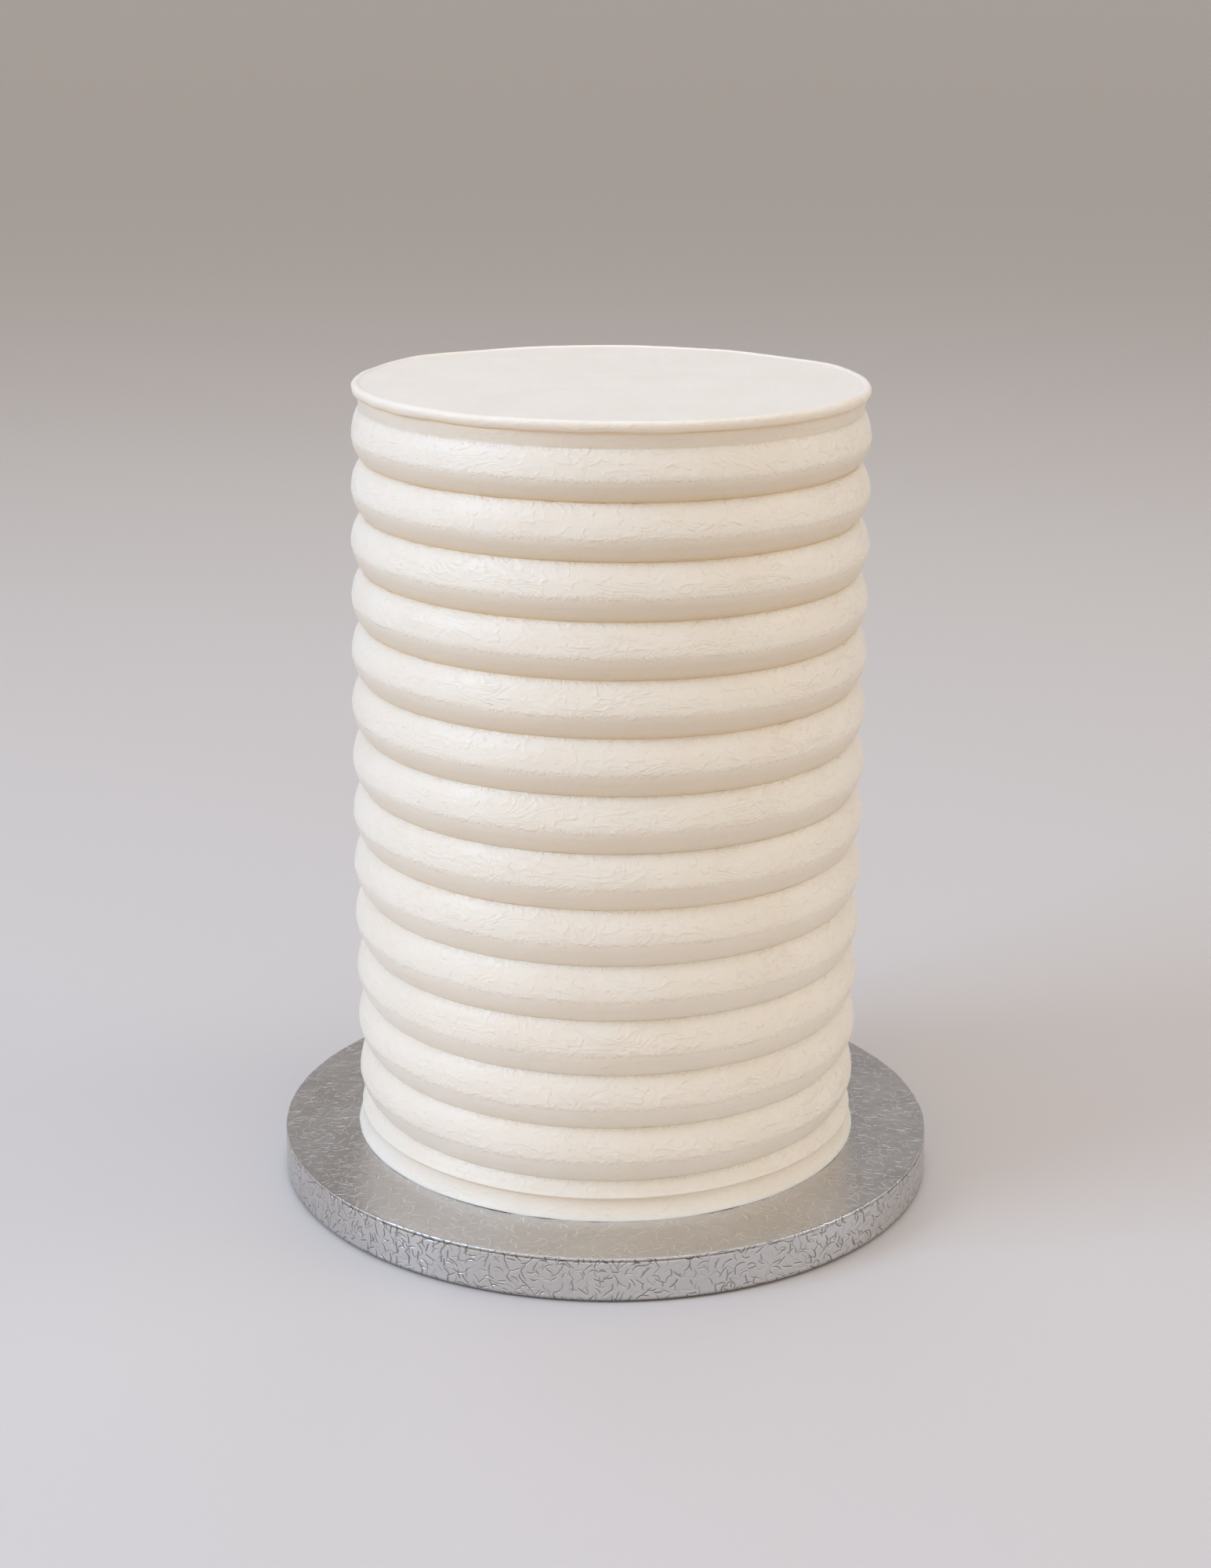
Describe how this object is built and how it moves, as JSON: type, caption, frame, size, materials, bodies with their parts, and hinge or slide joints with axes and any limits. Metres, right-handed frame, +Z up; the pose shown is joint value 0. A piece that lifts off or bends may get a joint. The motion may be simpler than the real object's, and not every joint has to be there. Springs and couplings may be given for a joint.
{
  "type": "wedding cake",
  "caption": "Tall straight wedding cake in ivory icing combed into level rounded ribs, with a thin raised rim round its flat top, fixed on a round silver foil cake board.",
  "frame": {"origin": "middle of the board's underside, where the cake stands on a table", "axes": "+Z up along the cake's own axis; the cake is turned, so +X and +Y are alike, and -Y faces the camera of the picture"},
  "size_m": [0.2032, 0.2032, 0.2478],
  "materials": {
    "ivory_icing": "satin",
    "silver_foil": "satin"
  },
  "bodies": {
    "root": {"cake": "ivory_icing", "cake_board": "silver_foil"}
  },
  "joints": []
}
